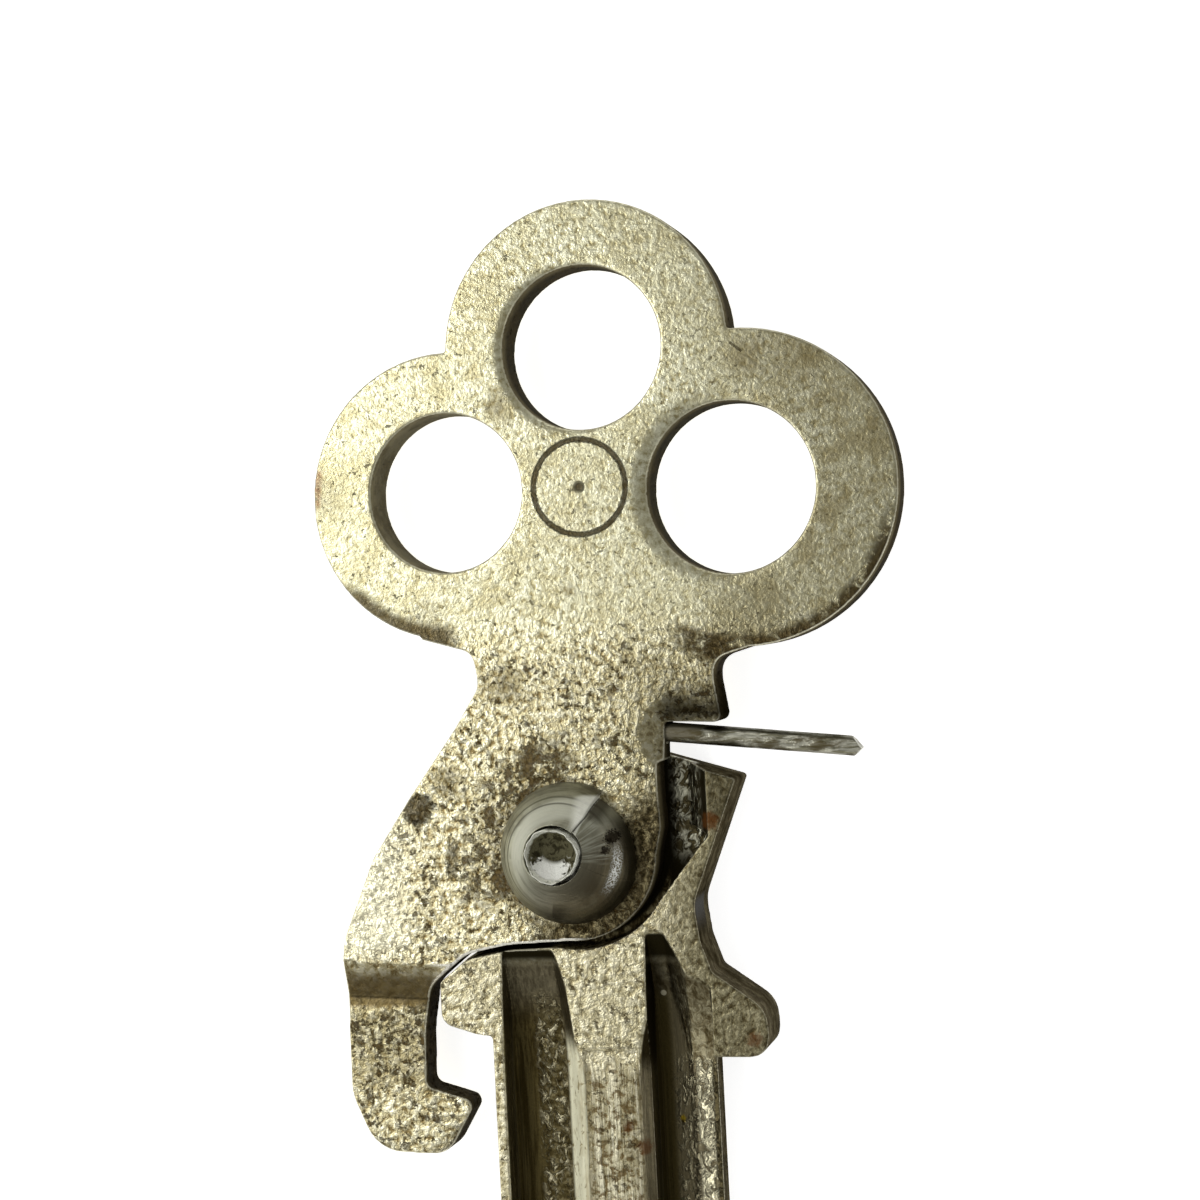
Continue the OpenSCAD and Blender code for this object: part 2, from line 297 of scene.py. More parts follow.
def worn(node, name, grain, passes, keep, shape=None):
    """A worn copy of a node: cells of grain millimetres, and the share of its faces to keep."""
    bm = bmesh.new()
    bm.from_mesh(nodes[node].data)
    bmesh.ops.remove_doubles(bm, verts=bm.verts, dist=MERGE * MM)
    mesh = bpy.data.meshes.new(name)
    bm.to_mesh(mesh)
    bm.free()
    piece = bpy.data.objects.new(name, mesh)
    bpy.context.scene.collection.objects.link(piece)
    remesh = piece.modifiers.new("fine_skin", "REMESH")
    remesh.mode = "VOXEL"
    remesh.voxel_size = grain * MM
    piece.data = applied(piece)

    before = points(piece.data)
    bm = bmesh.new()
    bm.from_mesh(piece.data)
    for _ in range(passes):
        bmesh.ops.smooth_vert(
            bm, verts=bm.verts, factor=0.5, use_axis_x=True, use_axis_y=True, use_axis_z=True
        )
    bm.to_mesh(piece.data)
    bm.free()
    after = points(piece.data)
    normals = np.zeros(after.size, np.float32)
    piece.data.vertices.foreach_get("normal", normals)
    sunk = ((before - after) * normals.reshape(-1, 3)).sum(axis=1) / (grain * MM)
    wear = piece.data.attributes.new("wear", "FLOAT", "POINT")
    wear.data.foreach_set("value", sunk.astype(np.float32))
    if shape:
        piece.data.vertices.foreach_set("co", shape(after / MM).ravel() * MM)

    thin = piece.modifiers.new("thin_flats", "DECIMATE")
    thin.ratio = keep
    piece.data = applied(piece)
    piece.data.name = name
    piece.data.shade_smooth()
    spread = [round(float(v), 2) for v in np.percentile(sunk, (1, 50, 99))]
    print(name, len(piece.data.polygons), "faces, wear", spread)
    return piece


print("corners closer than", MERGE, "mm are merged first")

# %% [markdown]
# The bow plate
#
# It is nickel silver, pale and a little yellow, about 1.8 mm thick. The head is
# fairly smooth with a fine speckle, the lower shank and the hook are densely
# pitted, and the cut walls have gone dark brown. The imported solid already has
# the right outline, so it isn't drawn again: it is worn, and one vertex move
# lowers the face beside each hole, where the punch drew it down.

# %% Bow piece
LEFT_HOLE = (-4.24, 13.86)
# Each hole's centre, its radius and the width of its drawn rim, in millimetres.
HOLES = ((*LEFT_HOLE, 3.05, 0.1), (6.85, 13.4, 3.2, 0.7), (1.39, 19.01, 3.1, 0.4))
RIM_FOOT = 0.8
RIM_HEIGHT = 1.6
RIM_DRAW = 0.22


def rolled_rims(place):
    """The punch drew the face down beside each hole, most of all on its left."""
    for x, y, radius, width in HOLES:
        away = np.hypot(place[:, 0] - x, place[:, 1] - y)
        leftward = (0.6 - (place[:, 0] - x) / away).clip(0, 1.6) / 1.6
        near = (radius + width - away).clip(0, width) / width
        height = (place[:, 2] - RIM_FOOT).clip(0, RIM_HEIGHT) / RIM_HEIGHT
        place[:, 2] -= RIM_DRAW * width * height * leftward * near**2
    return place


bow = worn("bow", "bow_plate", 0.05, 7, 0.18, rolled_rims)
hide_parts("bow")
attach(bow, "bow")

# %% [markdown]
# Nickel silver, from bright to corroded
#
# Six noises of different grain do most of the work. The finest is a fleck
# that makes the head sparkle. Grit becomes pits wherever it passes a
# threshold, and the threshold drops where the plate is corroded, so pits crowd
# together on the neck. Lumps give the beaten look of light and dark, and the
# two widest are slow stains. Each mask goes into colour, roughness, metallic
# and bump together, because a pit is dark, dull and deep.

# %% Noises of the bow
metal = Metal("bow_nickel_silver")
x, y = metal.x, metal.y
wear = metal.attribute("wear")
# 1 on the face and the walls, 0 on the back, which has no dimple and no ring.
front = metal.up.step(-0.6, -0.2)
broad = metal.noise(3.0, detail=4)
patch = metal.noise(1.3, detail=4, rough=0.6)
fleck = metal.noise(0.12, detail=3, rough=0.65)
grit = metal.noise(0.3, detail=6, rough=0.72, warp=0.25)
crust = metal.noise(0.55, detail=5, rough=0.7, warp=0.4)
lumps = metal.noise(0.27, detail=3, rough=0.62, warp=0.2)
metal.count("noises of the bow")

# %% Areas of the bow
PIVOT = (0, 0)
neck = 1 - y.step(6.6, 9.4)
arm = (1 - y.step(-6.2, -5.4)) * y.step(-9.8, -8.2)
# Painted shade: the neck and the head get darker towards the right, away from the light.
right_shade = (x.step(-4.5, 5.0) * 0.75 + x.step(1.6, 3.6) * 0.5).clamp() * neck
right_shade = right_shade + x.step(4.5, 9.5) * (1 - neck) * 0.7 + metal.spot(7.2, 8.6, 2.6, 0.8) * 0.7
beside_dome = metal.away(*PIVOT).between(2.5, 4.2, 0.4) * (1 - x.step(-1.0, 1.0))
beside_dome = beside_dome * y.step(-2.6, -1.0)
# Painted shadow and grime in a ring on the face left of the collar.
dome_shadow_and_grime = metal.away(*PIVOT).between(2.4, 3.2, 0.25) * (1 - x.step(-1.5, 0.5))
# The leaf right of and below the collar, which is painted in shade.
lower_right = (x * 0.77 - y * 0.64).step(0.0, 1.5) * y.between(-4.6, 2.4, 1.0)
dense = (patch.step(0.42, 0.6) + beside_dome * 0.8 + arm * 0.6).clamp() * neck
joggle = (1 - y.step(-4.95, -3.85)) * y.step(-6.1, -5.75) * (1 - x.step(-6.0, -5.0))
rubbed = (1 - x.step(-7.8, -5.8)) * y.between(-3.8, 3.4, 0.5)
pits = 1 - (grit - dense * 0.07).step(0.32, 0.4)
pits = pits + crust.step(0.58, 0.64) * dense * (0.6 + beside_dome * 0.4)
pits = pits + crust.step(0.5, 0.56) * beside_dome * 0.8
pits = pits.clamp() * (1 - joggle * 0.8) * (1 - rubbed * 0.8)
metal.count("areas of the bow")

# %% [markdown]
# Marks with a place of their own
#
# Noise alone looks the same all over. The eye knows an old thing by the marks
# that sit in one place: a stain where it was held, and painted shade in the
# dimple and along a rim. Each is a spot, a band or a scratch at its own
# millimetres, and a noise tears the border of most of them.

# %% Stains of the bow
# Each stain's centre, its size in millimetres and its strength.
STAINS = (
    (-2.3, 6.5, 1.2, 1.0), (-4.7, 2.7, 1.0, 1.0), (9.7, 18.2, 1.9, 0.7),
    (-9.3, 14.2, 1.8, 0.5), (-1.9, 16.9, 0.9, 1.0), (7.5, 18.2, 1.0, 1.0),
)
stains = patch.step(0.5, 0.62) * x.step(6.5, 10.0) * (1 - neck) * 0.6
stains = stains + metal.spot(0.5, 9.9, 0.45, 0.9) * 0.8 + metal.spot(12.27, 15.4, 0.32)
for stain_x, stain_y, size, strength in STAINS:
    stains = stains + metal.spot(stain_x, stain_y, size, 0.9, patch) * strength
stains = (stains + beside_dome * 0.4).clamp()
print(len(STAINS) + 2, "stains,", len(metal.tree.nodes), "nodes")

# %% Marks of the bow
LEFT_LOBE = (-4.15, 13.74)
RIGHT_LOBE = (7.19, 13.38)
FOOT = (-7.2, -9.6)
RING = (1.08, 13.76)
# Painted shade where the face curves down into the dimple over the staked wire.
dimple = x.step(3.2, 4.1) * (1 - y.step(4.9, 6.9)) * y.step(4.2, 5.2)
dimple = dimple.highest(x.step(3.0, 4.0) * y.between(2.8, 5.4, 0.8) * 0.45)
dimple = dimple * front
dents = metal.spot(-6.0, 1.8, 0.7, 0.4, grit) + metal.scratch(-4.75, -1.0, 1.7, 84, 0.3) * 0.8
# Painted shade along the rounded lower rims of the left lobe, the right lobe and the foot.
left_rim = metal.away(*LEFT_LOBE).between(5.0, 6.4, 0.22) * y.between(7.6, 10.4, 0.4)
left_rim = left_rim * (1 - x.step(-4.6, -3.6)) * grit.step(0.28, 0.42)
right_rim = metal.away(*RIGHT_LOBE).between(5.5, 6.5, 0.2) * (1 - y.step(10.5, 13.0))
right_rim = right_rim * x.step(4.2, 5.4) * crust.step(0.36, 0.52)
foot_rim = metal.away(*FOOT).between(2.1, 3.2, 0.3) * (1 - y.step(-11.0, -9.6))
# Dents, and the painted shade of the rims.
dents_and_rim_shade = (dents + left_rim + right_rim + foot_rim * 0.8).clamp()
rust = metal.scratch(-9.7, 13.4, 1.9, 84, 0.4) * grit.step(0.3, 0.55)

worn_radius = metal.away(*RING) + fleck * 0.14 + patch * 0.08
ring = worn_radius.between(1.82, 1.99, 0.04) * (0.55 + crust) + metal.spot(*RING, 0.26)
crack = metal.scratch(7.1, 18.75, 0.6, -40, 0.05) * 0.7
scored = (ring + crack).clamp() * front
metal.count("marks of the bow")

# %% [markdown]
# Coats of colour, from the metal up
#
# The colour is painted in coats, in the order in which the real plate got
# them: bare metal first, then its tarnish, then stains and pits, and last the
# dirt and the places that hands have rubbed bright again. Painted shade and
# painted highlights are laid in among these coats.

# %% Colours of the bow's face
smooth = metal.mottle(lumps, tone(154, 144, 106), tone(206, 202, 168), tone(232, 230, 200))
smooth = metal.mix(broad.step(0.35, 0.65) * 0.4, smooth, tone(200, 194, 156))
tanned = patch.step(0.46, 0.6) * (0.45 + (1 - x.step(-6.0, 3.0)) * 0.3)
smooth = metal.mix(tanned * 0.9, smooth, tone(178, 168, 126))
smooth = metal.mix(fleck.step(0.46, 0.7) * 0.5, smooth, tone(150, 140, 104))
rough = metal.mottle(lumps, tone(128, 110, 70), tone(208, 197, 154), tone(250, 244, 210))
smooth = metal.mix((1 - x.step(-9.5, -3.5)) * 0.35, smooth, tone(188, 182, 144))
metal.colour = metal.mix(neck * 0.9, smooth, rough)
# Painted shade on the right of the neck and the head.
metal.paint(right_shade * 0.6, tone(128, 120, 90))
metal.paint(rubbed * 0.6, tone(252, 248, 216))
metal.paint(arm * 0.6, tone(140, 129, 93))
# Painted shade, mottled, for the leaf right of and below the collar.
mottled_shade = metal.mottle(lumps, tone(40, 35, 22), tone(70, 62, 43), tone(112, 103, 76))
metal.paint(lower_right * 0.98, mottled_shade)
# Painted shadow and grime round the collar's left side.
metal.paint(dome_shadow_and_grime * 0.45, tone(84, 74, 50))
metal.paint(stains * 0.6, tone(110, 97, 62))
soil = metal.mix(fleck.step(0.4, 0.6), tone(70, 56, 32), tone(112, 94, 58))
metal.paint(pits * (0.4 + neck * 0.5), soil)
# Painted shade on the joggle's slope, which faces away from the light.
shade = metal.mix(crust.step(0.4, 0.6), tone(96, 82, 52), tone(118, 103, 68))
metal.paint(joggle * 0.95, shade)
# Dents, and painted shade along the rims.
metal.paint(dents_and_rim_shade * 0.9, tone(62, 52, 32))
metal.paint(rust * 0.8, tone(106, 70, 48))
# Painted shade along the right lobe's rim and the left lobe's lower edge.
lobe_edge_shade = right_rim + metal.spot(-5.4, 9.0, 1.2, 0.8, patch) * 0.6
metal.paint(lobe_edge_shade.clamp() * 0.5, tone(84, 72, 46))
metal.count("colours of the bow's face")

# %% Colours of the bow's walls and edges
walls = 1 - metal.level.step(0.35, 0.8)
# Painted shade: the walls get darker further below the face.
deep_wall_shade = (2.25 - metal.z).step(0.0, 0.7)
wall_tone = metal.mix(deep_wall_shade, tone(122, 112, 84), tone(54, 48, 36))
wall_tone = metal.mix(metal.spot(*LEFT_HOLE, 3.8, 0.2) * 0.5, wall_tone, tone(168, 160, 130))
wall_tone = metal.mix(patch.step(0.45, 0.6) * 0.5, wall_tone, tone(76, 66, 44))
metal.paint(walls * 0.96, wall_tone)
# Rubbed edges are paler. On the neck and the right lobe's rim they also carry a painted
# highlight, left out where the lower right is painted in shade.
unlit_edges = lower_right * x.step(-1.0, 1.5) * 0.7
rubbed_edge_and_highlight = wear.step(0.1, 0.34) * (0.45 + neck * 0.45 + right_rim * 0.4) * (1 - unlit_edges)
metal.paint(rubbed_edge_and_highlight, tone(246, 241, 212))
metal.paint((0 - wear).step(0.03, 0.12) * 0.7, tone(56, 48, 32))
# Painted highlight along the leaf's lower edge, white and less metallic.
lip = wear.step(0.01, 0.07) * (metal.z - 1.9).step(0.0, 0.2) * (1 - y.step(-3.1, -2.7))
lip = lip * x.between(-5.6, 0.2, 0.5) * y.step(-5.4, -5.0)
metal.paint(lip, tone(255, 252, 236))
metal.paint(scored * 0.9, tone(64, 54, 34))
# Painted shade in the dimple.
metal.paint(dimple * 0.95, tone(34, 29, 18))
metal.count("colours of the bow's walls and edges")

# %% Shine and relief of the bow
roughness = 0.24 + fleck * 0.12 + pits * 0.25 + stains * 0.1 + walls * 0.3
metallic = 1.0 - pits * 0.45 - scored * 0.4 - walls * 0.85 - dimple * 0.6 - lip * 0.7
metallic = metallic.clamp()
height = (1 - pits) * (0.2 + neck * 0.3) + fleck * 0.15 + lumps * (0.25 + neck * 0.75)
height = height - scored * 0.8 - dents_and_rim_shade * 0.3 - joggle * lumps * 0.7
bow.data.materials.append(metal.finish(roughness, metallic, metal.bump(height, 0.09)))

# %% [markdown]
# The blade
#
# The blade is the same metal, milled lengthwise. Old grease fills the floor of
# each groove and the recess, painted darker still as shade near the walls, and
# rough metal shows through it here and there. The slope beside the left one
# carries a painted reflection. The masks are the cutters' own strips, in
# millimetres across the blade and in depth below its top.

# %% Blade piece
blade = worn("blade", "grooved_blade", 0.05, 4, 0.2)
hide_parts("blade")
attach(blade, "blade")

# %% Noises of the blade
metal = Metal("blade_nickel_silver")
x, y = metal.x, metal.y
wear = metal.attribute("wear")
broad = metal.noise(2.4, detail=4)
patch = metal.noise(0.9, detail=4, rough=0.6)
fleck = metal.noise(0.11, detail=3, rough=0.65)
grit = metal.noise(0.28, detail=6, rough=0.72, warp=0.25)
lumps = metal.noise(0.27, detail=3, rough=0.62, warp=0.2)
milled = metal.noise(0.14, detail=4, rough=0.65, place=metal.stretched(1, 0.04, 1))
blotch = metal.noise(0.45, detail=5, rough=0.7, place=metal.stretched(1, 0.6, 1))
crumb = metal.noise(0.3, detail=2.5, rough=0.6, place=metal.stretched(1, 0.7, 1), warp=0.9)
metal.count("noises of the blade")

# %% The cutters' strips
BLADE_TOP = 2.4
LEAF_END = (-4.4, -3.9)
SHOULDER_END = (-8.6, -7.6)
depth = BLADE_TOP - metal.z
# Below the top of the blade, above the back groove, and not the rib's sunken top.
cut = depth.step(0.03, 0.08) * metal.z.step(0.75, 0.9)
cut = cut * (1 - x.between(0.13, 2.2, 0.04) * (1 - depth.step(0.15, 0.2)))
shank = 1 - y.step(*SHOULDER_END)
# The recess under the leaf, which holds grease and is painted near black as shade.
lap = cut * y.step(*LEAF_END)
below = cut * (1 - y.step(*LEAF_END))
low = depth.step(0.6, 1.05) * below
left_floor = low * (1 - x.step(-0.95, -0.55))
flakes = left_floor * x.between(-2.0, -0.95, 0.2) * crumb.step(0.46, 0.58)
left_slope = x.between(-0.8, 0.1, 0.1) * (1 - y.step(-7.8, -6.6)) * cut
right_cut = below * x.step(2.3, 2.4)
right_floor = right_cut * depth.step(0.85, 1.1)
mottled = right_cut * x.step(3.2, 3.5) * shank * crumb.step(0.46, 0.6)
right_strip = right_cut * x.between(4.3, 4.92, 0.06) * shank * crumb.step(0.36, 0.5)
right_edge = right_cut * x.step(4.9, 5.0) * shank
# Painted shade on the blade's tail, right of the recess.
tail_shade = x.between(5.3, 6.7, 0.2) * y.step(0.4, 1.4) * (1 - cut)
shelf = lap * x.between(3.75, 4.95, 0.2) * y.step(-0.8, 0.6)
scraped = shelf * crumb.step(0.46, 0.58)
border = metal.away(0.15, 0.15).between(3.5, 3.9, 0.08)
border = border * (1 - x.step(3.3, 3.6)) * (1 - y.step(-1.5, 0.0))
rib = x.between(-0.2, 2.5, 0.08) * shank
ledge = x.between(-0.1, 2.5, 0.1) * y.between(-7.9, -7.0, 0.1)
metal.count("the cutters' strips")

# %% Pits and rust of the blade
# Each rust spot's centre and its size, in millimetres.
RUST = ((6.73, -7.06, 0.42), (5.38, 1.03, 0.5), (1.71, -10.37, 0.3), (2.3, -11.1, 0.4))
dull = 1 - shank
# Painted shade on the right of the blade, above the shank.
right_shade = x.step(2.2, 5.0) * dull
pits = 1 - (grit - patch.step(0.45, 0.65) * 0.05 + right_shade * 0.05).step(0.33, 0.41)
pits = (pits + blotch.step(0.6, 0.66) * rib * 0.7).clamp() * (1 - cut)
rust = sum(metal.spot(*spot, 0.8, grit) for spot in RUST)
rust = (rust * 1.3).clamp()
print(len(RUST), "rust spots,", len(metal.tree.nodes), "nodes")

# %% [markdown]
# Lands, grooves and walls
#
# The blade is painted in the order in which it was made and used: the flat
# lands and the milled rib, then the grooves with the sweep of the cutter, the
# grease and the flakes in them, and last the side walls, the edges and the
# rust. Painted shade on the right and in the grooves, and a painted reflection
# on the left slope, are laid among these coats.

# %% Colours of the lands and the rib
land = metal.mottle(lumps, tone(124, 111, 76), tone(196, 187, 150), tone(240, 233, 200))
metal.colour = metal.mix(broad.step(0.35, 0.65) * 0.4, land, tone(186, 178, 144))
metal.paint(fleck.step(0.5, 0.72) * 0.4, tone(140, 131, 98))
plain = metal.mottle(lumps, tone(66, 58, 38), tone(104, 97, 72), tone(136, 129, 100))
# Painted shade: a darker copy of the land on the right of the blade.
metal.paint(right_shade * 0.9, plain)
# Painted shade on the tail.
metal.paint(tail_shade * 0.6, tone(58, 52, 36))
lines = metal.mottle(milled, tone(92, 81, 52), tone(166, 157, 122), tone(248, 242, 210))
metal.paint(rib * (0.3 + blotch.step(0.4, 0.6) * 0.6), lines)
metal.paint(rib * (1 - lumps.step(0.4, 0.5)) * 0.8, tone(104, 86, 54))
metal.paint(rib * x.step(1.5, 2.4) * 0.6, tone(96, 86, 60))
metal.paint(rib * (1 - x.step(0.3, 0.5)) * 0.5, tone(128, 116, 82))
metal.paint(pits * 0.8, tone(96, 82, 52))
metal.count("colours of the lands and the rib")

# %% Colours of the grooves
sweep = metal.mix(milled.step(0.35, 0.65), tone(92, 85, 66), tone(124, 116, 92))
metal.paint(below, sweep)
runout = right_cut * (1 - shank)
swept = metal.mottle(crumb, tone(86, 76, 52), tone(122, 113, 86), tone(160, 152, 122))
# Painted shade and grease next to the wall of the run-out, swept metal further out.
metal.paint(runout, metal.mix(x.step(2.6, 4.2), tone(46, 40, 26), swept))
# Grease on the left groove's floor, painted darker as shade.
shaded_grease = metal.mottle(grit, tone(52, 44, 26), tone(84, 75, 48), tone(128, 118, 86))
streaked = metal.mix(milled.step(0.42, 0.6), tone(64, 55, 32), tone(92, 82, 52))
metal.paint(left_floor, metal.mix(x.step(-2.1, -1.5), streaked, shaded_grease))
# Painted reflection on the slope beside the left groove, broken by brown flecks and milled
# lines.
slope_sheen = metal.mix(crumb.step(0.3, 0.42), tone(150, 134, 92), tone(255, 252, 218))
slope_sheen = metal.mix(x.step(-0.35, 0.05) * milled.step(0.35, 0.6), slope_sheen, tone(214, 204, 166))
slope_sheen = metal.mix(blotch.step(0.5, 0.62) * 0.3, slope_sheen, tone(186, 174, 132))
metal.paint(left_slope, slope_sheen)
# Right groove floor: painted shade and grease next to the wall, scoured metal further out.
scoured_and_shaded = metal.mix(x.step(3.1, 3.5), tone(70, 62, 38), tone(112, 104, 80))
metal.paint(right_floor, scoured_and_shaded)
# Grease and painted shade, near black, in the recess under the leaf.
metal.paint(lap, tone(38, 34, 22))
metal.paint(shelf * 0.85, tone(92, 84, 60))
scrapings = metal.mottle(crumb, tone(52, 44, 28), tone(96, 84, 56), tone(170, 158, 118))
metal.paint(border * 0.8, scrapings)
flaked = metal.mix(grit.step(0.4, 0.6), tone(128, 117, 84), tone(214, 206, 172))
metal.paint(flakes * 0.9, flaked)
metal.paint(mottled * 0.75, tone(180, 172, 140))
metal.paint(right_strip * 0.95, tone(255, 247, 208))
metal.paint(right_edge * 0.9, tone(92, 84, 60))
metal.paint(scraped * 0.9, tone(206, 204, 180))
metal.count("colours of the grooves")

# %% Colours of the blade's walls, edges and spots
walls = (1 - metal.level.step(0.2, 0.6)) * (1 - cut * x.between(-3.2, 4.8, 0.1)) * (1 - ledge)
wall_tone = metal.mottle(blotch, tone(66, 58, 40), tone(90, 82, 62), tone(122, 113, 88))
metal.paint(walls * 0.95, wall_tone)
metal.paint(wear.step(0.1, 0.24) * (0.5 - right_shade * 0.25), tone(234, 228, 200))
metal.paint((0 - wear).step(0.06, 0.2) * 0.7 * (1 - ledge), tone(46, 40, 26))
metal.paint(rust * (0.3 + crumb * 0.8), tone(92, 57, 28))
metal.paint(metal.spot(3.56, -10.26, 0.2, 0.6, grit), tone(150, 128, 40))
metal.paint(metal.spot(3.11, -5.47, 0.13, 0.3), tone(170, 164, 140))
metal.count("colours of the blade's walls, edges and spots")

# %% Shine and relief of the blade
# Greasy floors, which are also painted in shade, are rougher and less metallic.
grease_and_shade = (left_floor + right_floor + lap - flakes - mottled - shelf).clamp()
roughness = 0.28 + fleck * 0.14 + pits * 0.22 + grease_and_shade * 0.15 + walls * 0.3
# The painted reflection on the left slope is unmetallic, so it stays bright.
metallic = 1.0 - pits * 0.4 - grease_and_shade * 0.45 - rust * 0.6 - walls * 0.85 - left_slope * 0.9
metallic = metallic.clamp()
beaten = 0.4 + dull * (1 - cut) * 0.4 - right_shade * 0.45
crusted = flakes + mottled + shelf - right_strip * 0.7
height = (1 - pits) * 0.3 + fleck * 0.15 + lumps * beaten
height = height + milled * (rib * 0.9 + below * 0.4) + crumb * crusted * 2.0
blade.data.materials.append(metal.finish(roughness, metallic, metal.bump(height, 0.09)))

# %% [markdown]
# The pivot
#
# The collar over the rivet was turned on a lathe, so it has fine rings about
# its own axis. Where it is split, one lip stands up with a painted highlight on
# it, and scraped lines fan out from the rivet beside it. The collar also has
# painted light on its upper left, painted shade on its lower right and outer
# edge, a painted highlight band and glint, and a painted shadow past the split.
# Distance and angle about the axis give all of these patterns. The punch leaned
# the rivet's end a little, which a vertex move copies on the collar's bore and
# on the rivet alike.

# %% Collar piece
# How far the punch pushed the rivet's end sideways, in millimetres.
RIVET_LEAN = (-0.09, 0.14)
# The bore is moved above this height only.
COLLAR_FOOT = 3.0


def leaning_bore(place):
    """The rivet was struck a little off centre and took the collar's bore with it."""
    near = (1.8 - np.hypot(place[:, 0], place[:, 1])).clip(0, 0.6) / 0.6
    place[:, :2] += np.outer(near * (place[:, 2] > COLLAR_FOOT), RIVET_LEAN)
    return place


washer = worn("washer", "domed_washer", 0.03, 3, 0.4, leaning_bore)
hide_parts("washer")
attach(washer, "blade")

# %% Rings, fan and split of the collar
# Direction of the split, in degrees from the x axis.
SPLIT_ANGLE = 67
metal = Metal("turned_steel")
x, y = metal.x, metal.y
wear = metal.attribute("wear")
radius = metal.away(*PIVOT)
angle = y.maths("ARCTAN2", y, x)
cloud = metal.noise(0.9, detail=4)
fine = metal.noise(0.07, detail=2)
rings = add_node(metal.tree, "ShaderNodeCombineXYZ", values={0: radius, 1: angle * 0.15})
rings = metal.noise(0.11, detail=3, rough=0.6, place=rings)
fan = add_node(metal.tree, "ShaderNodeCombineXYZ", values={0: angle, 1: radius * 0.05})
fan = metal.noise(0.075, detail=2, place=fan)
fanned = angle.between(-0.1, 1.15, 0.15) * radius.between(1.0, 1.9, 0.15)

pit = metal.spot(1.96, 0.68, 0.26, 0.3, fine) + metal.spot(1.78, 0.25, 0.17, 0.5, fine)
turn = math.radians(SPLIT_ANGLE)
split = x * math.sin(turn) - y * math.cos(turn)
up_split = x * math.cos(turn) + y * math.sin(turn)
beside = 0.4 - split
spread = beside - (up_split - 0.8) * 0.42
wedge = beside.step(-0.03, 0.04) * (1 - spread.step(-0.25, 0.2))
wedge = wedge * (1 - (radius + beside * 0.35).step(2.48, 2.62))
wedge = wedge * (0.7 + cloud.step(0.4, 0.6) * 0.3)
metal.count("rings, fan and split of the collar")

# %% Colours of the collar
# Painted light: the collar is lighter on the upper left, where the light falls, and darker on
# the lower right.
sun = (y * 0.7 - x * 0.7).step(-2.0, 1.8)
metal.colour = metal.mix(sun, tone(84, 76, 58), tone(186, 186, 164))
metal.paint(cloud.step(0.45, 0.65) * 0.4, tone(108, 103, 84))
metal.paint(rings.step(0.45, 0.65) * 0.45 * (1 - fanned), tone(92, 88, 72))
# Painted shade towards the collar's outer edge, strongest on the lower right.
metal.paint(radius.step(2.15, 2.6) * (0.6 - sun * 0.35), tone(66, 63, 48))
# Painted highlight: a bright band on the upper left of the dome.
swirl = radius - (x + 1.5) * 0.18
lit = swirl.between(1.2, 1.88, 0.12) * (y * 0.9 - x * 0.5).step(-0.4, 1.2)
metal.paint(lit * 0.75, tone(214, 214, 194))
thin = radius.between(1.98, 2.04, 0.02) + radius.between(2.2, 2.26, 0.03)
metal.paint(thin * sun * 0.7, tone(74, 71, 58))
past = 0 - beside
# Painted shadow on the low side just past the split.
shadow_past_split = past.step(0.0, 0.05) * (1 - past.step(0.3, 0.8)) * radius.step(1.5, 1.9)
metal.paint(shadow_past_split * 0.8, tone(62, 57, 42))
metal.paint(fanned * fan.step(0.45, 0.6) * 0.6, tone(186, 186, 166))
# Painted highlight on the right slope of the dome.
glint = radius.between(2.0, 2.26, 0.08) * angle.between(-0.6, 0.1, 0.2) * fine.step(0.4, 0.6)
metal.paint(glint * 0.7, tone(226, 229, 224))
# Painted highlight on the raised edge beside the split.
metal.paint(wedge * 0.95, tone(252, 252, 236))
metal.paint(wear.step(0.1, 0.25) * 0.7, tone(214, 213, 200))
metal.paint((0 - wear).step(0.02, 0.08) * 0.8, tone(44, 40, 30))
metal.paint(pit.clamp() * 0.9, tone(36, 31, 24))
metal.count("colours of the collar")

# %% Shine and relief of the collar
roughness = 0.27 + fine * 0.12 + rings * 0.1
height = rings * 0.5 + fine * 0.2 + fan * fanned * 1.2 + cloud * 0.8 - pit
# Painted light and highlights are less metallic, so they stay bright.
metallic = (1.0 - wedge - lit * 0.4 - sun * 0.3).clamp()
washer.data.materials.append(metal.finish(roughness, metallic, metal.bump(height, 0.03)))

# %% [markdown]
# The rivet's end
#
# A hollow punch spread the end of the rivet. Its rim is thin, bright and
# slightly broken. Dirt has dried in the cup, with a painted highlight in one
# crescent at its bottom. A profile spun on the axis would come out too even, so
# a vertex move beats the imported rim out of round, and a noise tears the border
# of the dirt.

# %% Rivet piece
def beaten_rim(place):
    """The punch left the rim thin, leaning and a little out of round."""
    angle = np.arctan2(place[:, 1], place[:, 0])
    wobble = 0.03 * np.sin(3 * angle + 1) + 0.018 * np.sin(7 * angle) + 0.01 * np.sin(15 * angle)
    raised = (place[:, 2] - 3.4).clip(0, 0.6) / 0.6
    radius = np.hypot(place[:, 0], place[:, 1])
    thinned = np.interp(radius, (0, 0.86, 1.08), (0, 0.9, 1.0)) / radius.clip(0.01)
    place[:, :2] *= (1 + (thinned - 1 + wobble) * raised)[:, None]
    place[:, :2] += np.outer(raised, RIVET_LEAN)
    top = (place[:, 2] - 4.5).clip(0, 0.3) / 0.3
    place[:, 2] -= top * 0.05 * (1 + np.sin(5 * angle + 2))
    return place


rivet = worn("rivet", "rivet_end", 0.03, 4, 0.5, beaten_rim)
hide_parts("rivet")
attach(rivet, "blade")

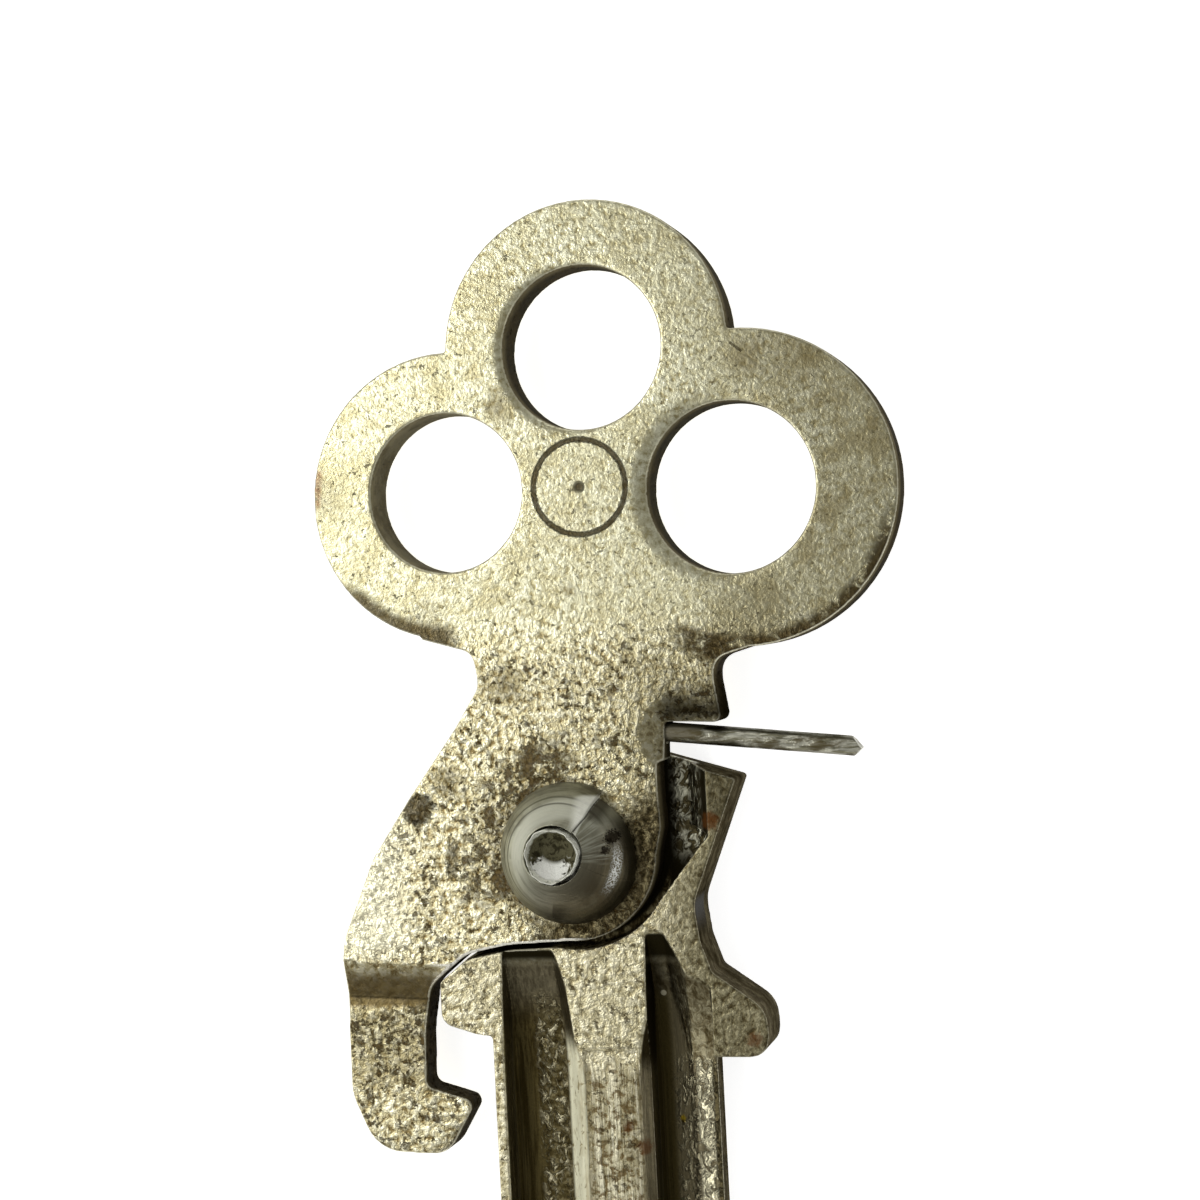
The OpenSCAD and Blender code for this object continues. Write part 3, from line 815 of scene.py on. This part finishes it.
# %% Rivet finish
metal = Metal("rivet_steel")
radius = metal.away(*RIVET_LEAN)
lump = metal.noise(0.22, detail=4, rough=0.65, warp=0.5)
fine = metal.noise(0.06, detail=2)
cup = (1 - (radius + lump * 0.16).step(0.94, 1.02)) * metal.z.step(3.0, 3.4)
# Painted highlight in a crescent at the bottom of the cup.
crescent = metal.spot(-0.25, -0.45, 0.75, 0.3, lump) * (1 - metal.spot(-0.1, 0.4, 0.68, 0.3))
rim = (radius + lump * 0.2).between(1.0, 1.2, 0.04)
metal.colour = metal.mix(lump.step(0.4, 0.6), tone(176, 176, 158), tone(140, 138, 118))
dirt = metal.mix(lump.step(0.42, 0.62), tone(96, 92, 68), tone(48, 44, 28))
metal.paint(cup * 0.95, dirt)
metal.paint(crescent * cup, tone(255, 255, 246))
broken_rim = rim * lump.step(0.34, 0.46)
metal.paint(broken_rim * 0.95, tone(255, 255, 240))
metallic = (1.0 - cup - broken_rim * 0.8).clamp()
height = lump * 1.4 + fine * 0.3
rivet.data.materials.append(metal.finish(0.3 + cup * 0.2, metallic, metal.bump(height, 0.05)))

# %% [markdown]
# The spring wire
#
# Drawn steel wire shows long streaks. It is bright along the top, with painted
# shade down both flanks, and brown where rust has started, most of all at the
# staked end. A plain noise would look like stone here, so its coordinates are
# squeezed along the wire, which draws the noise out into streaks.

# %% Wire piece
spring = worn("spring", "spring_wire", 0.03, 3, 0.5)
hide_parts("spring")
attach(spring, "bow")

# %% Wire finish
metal = Metal("wire_steel")
streak = metal.noise(0.14, detail=3, rough=0.6, place=metal.stretched(0.16, 1, 1))
blotch = metal.noise(0.5, detail=4, rough=0.6, place=metal.stretched(0.5, 1, 1))
fine = metal.noise(0.06, detail=2)
root = 1 - metal.x.step(4.0, 6.4)
rust = (blotch + root * 0.2).step(0.5, 0.64)
metal.colour = metal.mix(streak.step(0.4, 0.62), tone(196, 194, 176), tone(122, 119, 98))
metal.paint(rust * 0.75, tone(82, 72, 46))
# Painted shade down both flanks of the wire.
metal.paint(metal.side.step(0.45, 0.75) * 0.8, tone(66, 64, 48))
metal.paint((0 - metal.side).step(0.6, 0.85) * 0.7, tone(56, 50, 34))
roughness = 0.26 + fine * 0.1 + rust * 0.25
height = streak * 0.8 + rust * 0.5 + fine * 0.2
spring.data.materials.append(metal.finish(roughness, 1.0 - rust * 0.4, metal.bump(height, 0.03)))

# %% [markdown]
# Floor and light
#
# The key lies on a pale table under soft studio light from the upper left.
# The floor is a white sheet that glows a little for the camera and in
# reflections, so it comes out white and still keeps the key's soft shadow. Two
# weak boxes, below and above the key, open the shadows, and a narrow one on
# the right puts the glint on the collar.

# %% Floor
FLOOR_SIZE = 3.0
FLOOR_GLOW = 0.8
bm = bmesh.new()
bmesh.ops.create_grid(bm, x_segments=1, y_segments=1, size=FLOOR_SIZE)
floor_mesh = bpy.data.meshes.new("floor")
bm.to_mesh(floor_mesh)
bm.free()
floor = bpy.data.objects.new("floor", floor_mesh)
bpy.context.scene.collection.objects.link(floor)

floor_material = bpy.data.materials.new("white_table")
floor_material.use_nodes = True
tree = floor_material.node_tree
sheet = tree.nodes["Principled BSDF"]
sheet.inputs["Base Color"].default_value = (0.9, 0.9, 0.9, 1)
sheet.inputs["Roughness"].default_value = 0.9
sheet.inputs["Emission Color"].default_value = (1, 1, 1, 1)
ray = add_node(tree, "ShaderNodeLightPath", out=0)
glossy = add_node(tree, "ShaderNodeLightPath", out=3)
seen = ray.highest(glossy) * FLOOR_GLOW
tree.links.new(seen.socket, sheet.inputs["Emission Strength"])
floor_mesh.materials.append(floor_material)
print("floor glows at", FLOOR_GLOW)

# %% Lamps and world
WORLD_GREY = 0.34


def softbox(name, at, size, watts):
    """A rectangular lamp at millimetres from the pivot, turned towards it."""
    lamp = bpy.data.lights.new(name, "AREA")
    lamp.shape = "RECTANGLE"
    lamp.size = size[0] * MM
    lamp.size_y = size[1] * MM
    lamp.energy = watts
    box = bpy.data.objects.new(name, lamp)
    box.location = Vector(at) * MM
    box.rotation_euler = (-Vector(at)).to_track_quat("-Z", "Y").to_euler()
    bpy.context.scene.collection.objects.link(box)
    print(name, "at", at, "mm,", watts, "W")


softbox("key_light", (-208, -20, 257), (270, 280), 0.298)
softbox("window", (-175, 60, 265), (50, 50), 0.14)
softbox("low_fill", (-60, -310, 70), (220, 70), 0.08)
softbox("high_fill", (-40, 300, 190), (260, 90), 0.09)
softbox("right_glint", (272, -127, 115), (30, 80), 0.035)
world = bpy.data.worlds.new("studio")
world.use_nodes = True
background = world.node_tree.nodes["Background"]
background.inputs["Color"].default_value = (WORLD_GREY, WORLD_GREY, WORLD_GREY, 1)
background.inputs["Strength"].default_value = 1.0
bpy.context.scene.world = world
